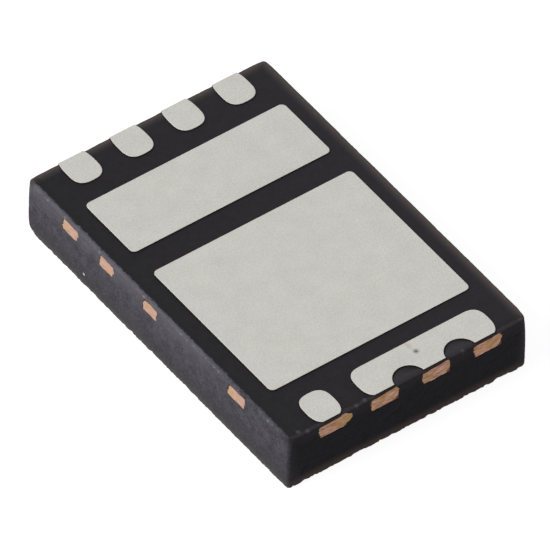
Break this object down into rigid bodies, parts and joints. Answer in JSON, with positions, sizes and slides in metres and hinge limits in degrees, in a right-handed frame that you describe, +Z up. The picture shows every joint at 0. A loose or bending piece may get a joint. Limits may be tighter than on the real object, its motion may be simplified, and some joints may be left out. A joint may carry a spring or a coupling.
{
  "type": "mosfet array chip",
  "caption": "Flat leadless power chip package with bare tinned solder pads up, in a black moulded body with sawn sides.",
  "frame": {"origin": "middle of the flat marking face, which the package lies on", "axes": "+Z up, out of the face with the solder pads; +X across the package, from its gate side to its other side; +Y along it, towards the end with separate lands"},
  "size_m": [0.003, 0.0046, 0.0007],
  "materials": {
    "mould_compound": "matte black epoxy, sides sawn rough",
    "frame_copper": "bare copper, sawn",
    "matte_tin": "matte tin, fine grained",
    "silicon": "smooth silicon with metal pads",
    "solder": "dull solder",
    "clip_copper": "bare copper, formed",
    "bond_wire": "bright gold"
  },
  "bodies": {
    "root": {"mould_body": "mould_compound", "gate_1_lead": "frame_copper", "drain_1_paddle": "frame_copper", "switch_node_paddle": "frame_copper", "source_2_lead": "frame_copper", "gate_2_lead": "frame_copper", "gate_1_land": "matte_tin", "drain_1_land_1": "matte_tin", "drain_1_land_2": "matte_tin", "drain_1_land_3": "matte_tin", "drain_1_pad": "matte_tin", "switch_node_pad": "matte_tin", "source_2_land": "matte_tin", "gate_2_land": "matte_tin", "high_side_die": "silicon", "low_side_die": "silicon", "high_side_die_attach": "solder", "low_side_die_attach": "solder", "high_side_die_joint": "solder", "low_side_die_joint": "solder", "high_side_foot_joint": "solder", "low_side_foot_joint": "solder", "high_side_clip": "clip_copper", "low_side_clip": "clip_copper", "high_side_gate_wire": "bond_wire", "low_side_gate_wire": "bond_wire"}
  },
  "joints": []
}
